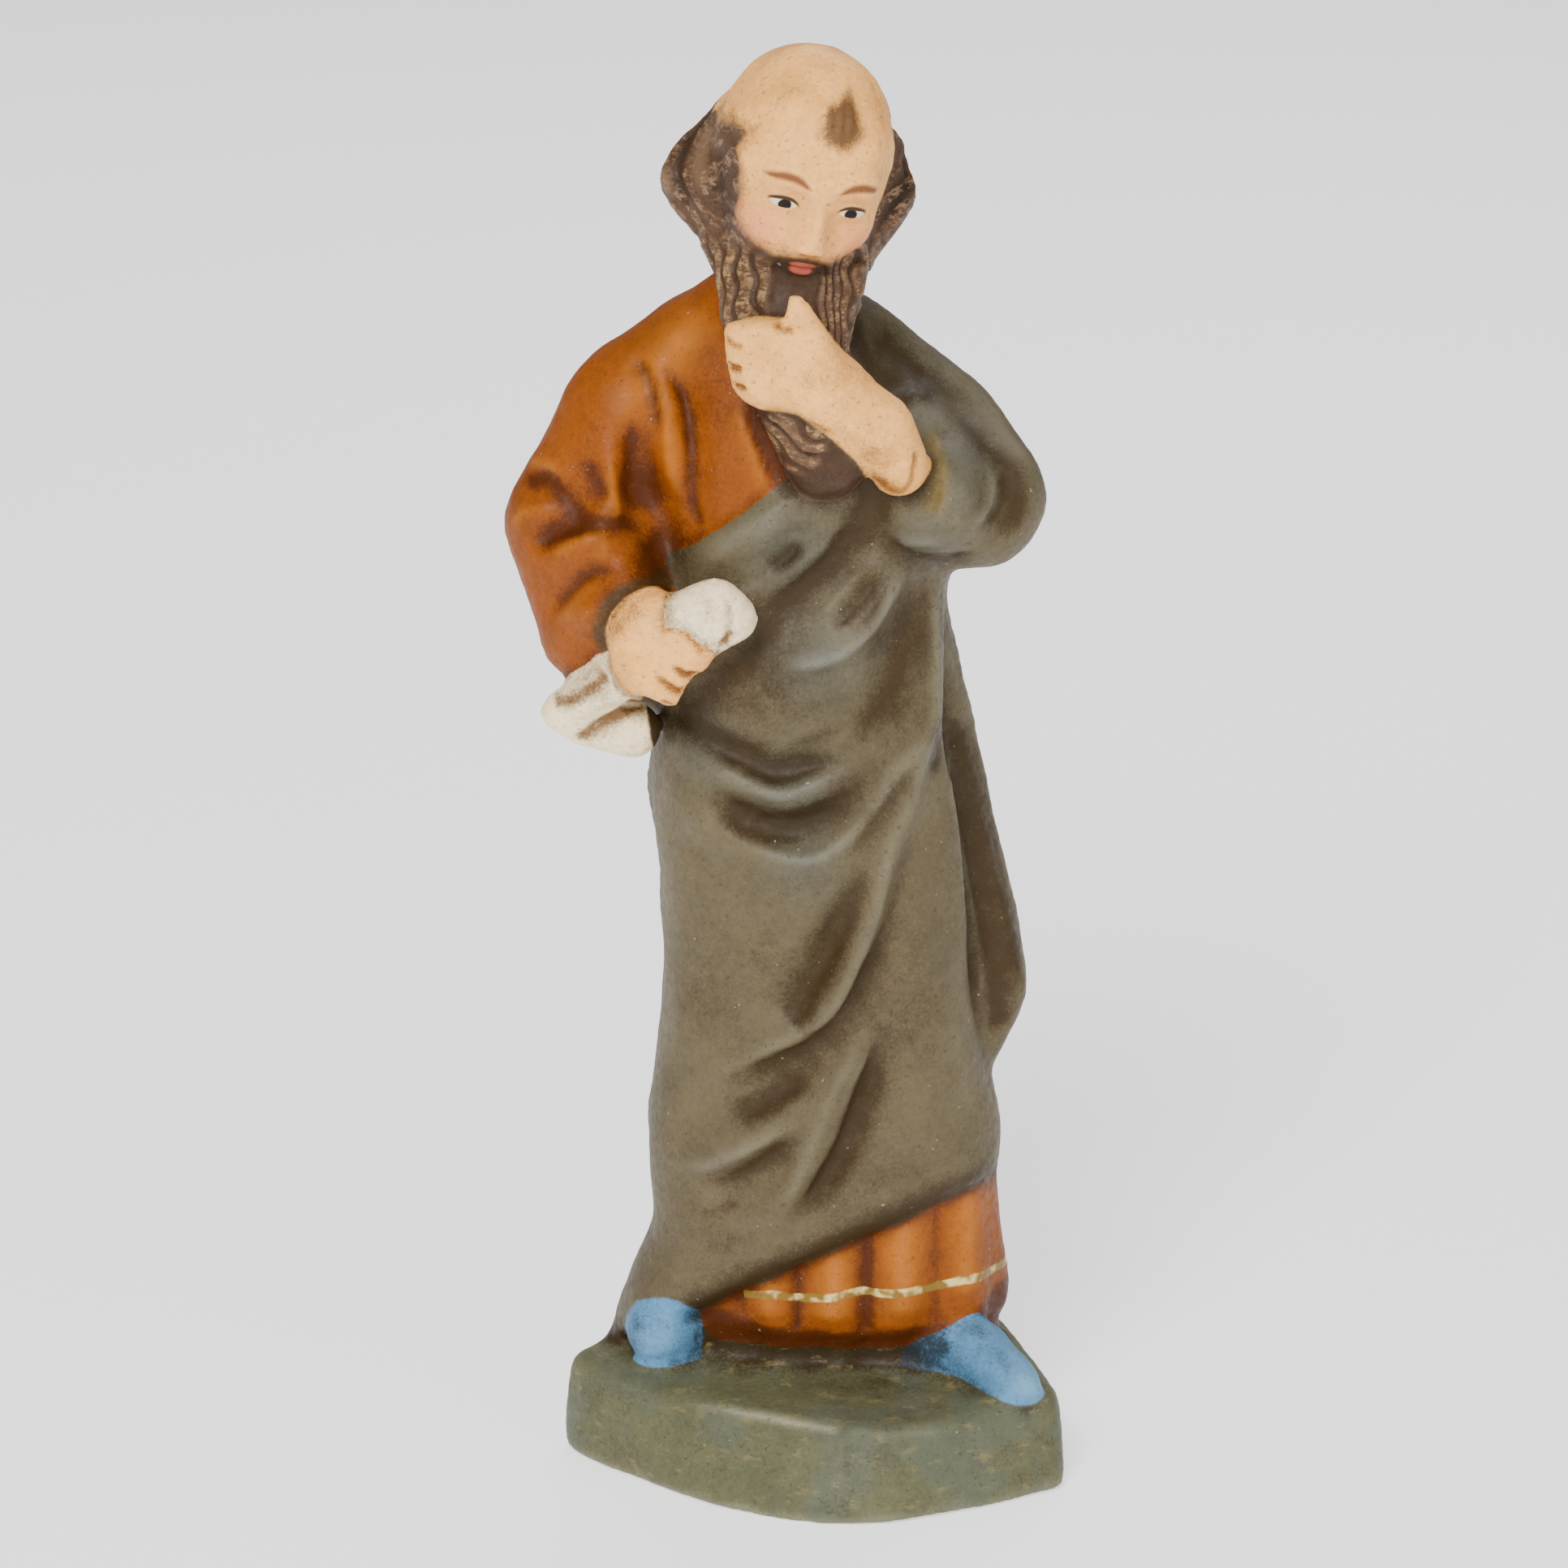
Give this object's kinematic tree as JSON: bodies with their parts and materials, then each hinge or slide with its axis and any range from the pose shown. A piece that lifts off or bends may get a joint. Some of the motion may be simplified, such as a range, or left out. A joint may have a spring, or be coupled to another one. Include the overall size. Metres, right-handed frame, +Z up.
{
  "type": "nativity figure",
  "caption": "Painted plaster nativity figure: a bald, bearded man in a long robe and draped cloak, hand at his beard, holding a scroll, standing on a low rock plinth.",
  "frame": {"origin": "in the plane of the plinth's flat underside, under the figure", "axes": "+Z up along the figure's height, the figure faces -Y, +X to the right of a viewer who faces it"},
  "size_m": [0.046, 0.0315, 0.1201],
  "materials": {
    "painted_plaster": "hand-painted cast plaster, satin to matte, with dark glaze in the folds"
  },
  "bodies": {
    "root": {"nativity_figure": "painted_plaster"}
  },
  "joints": []
}
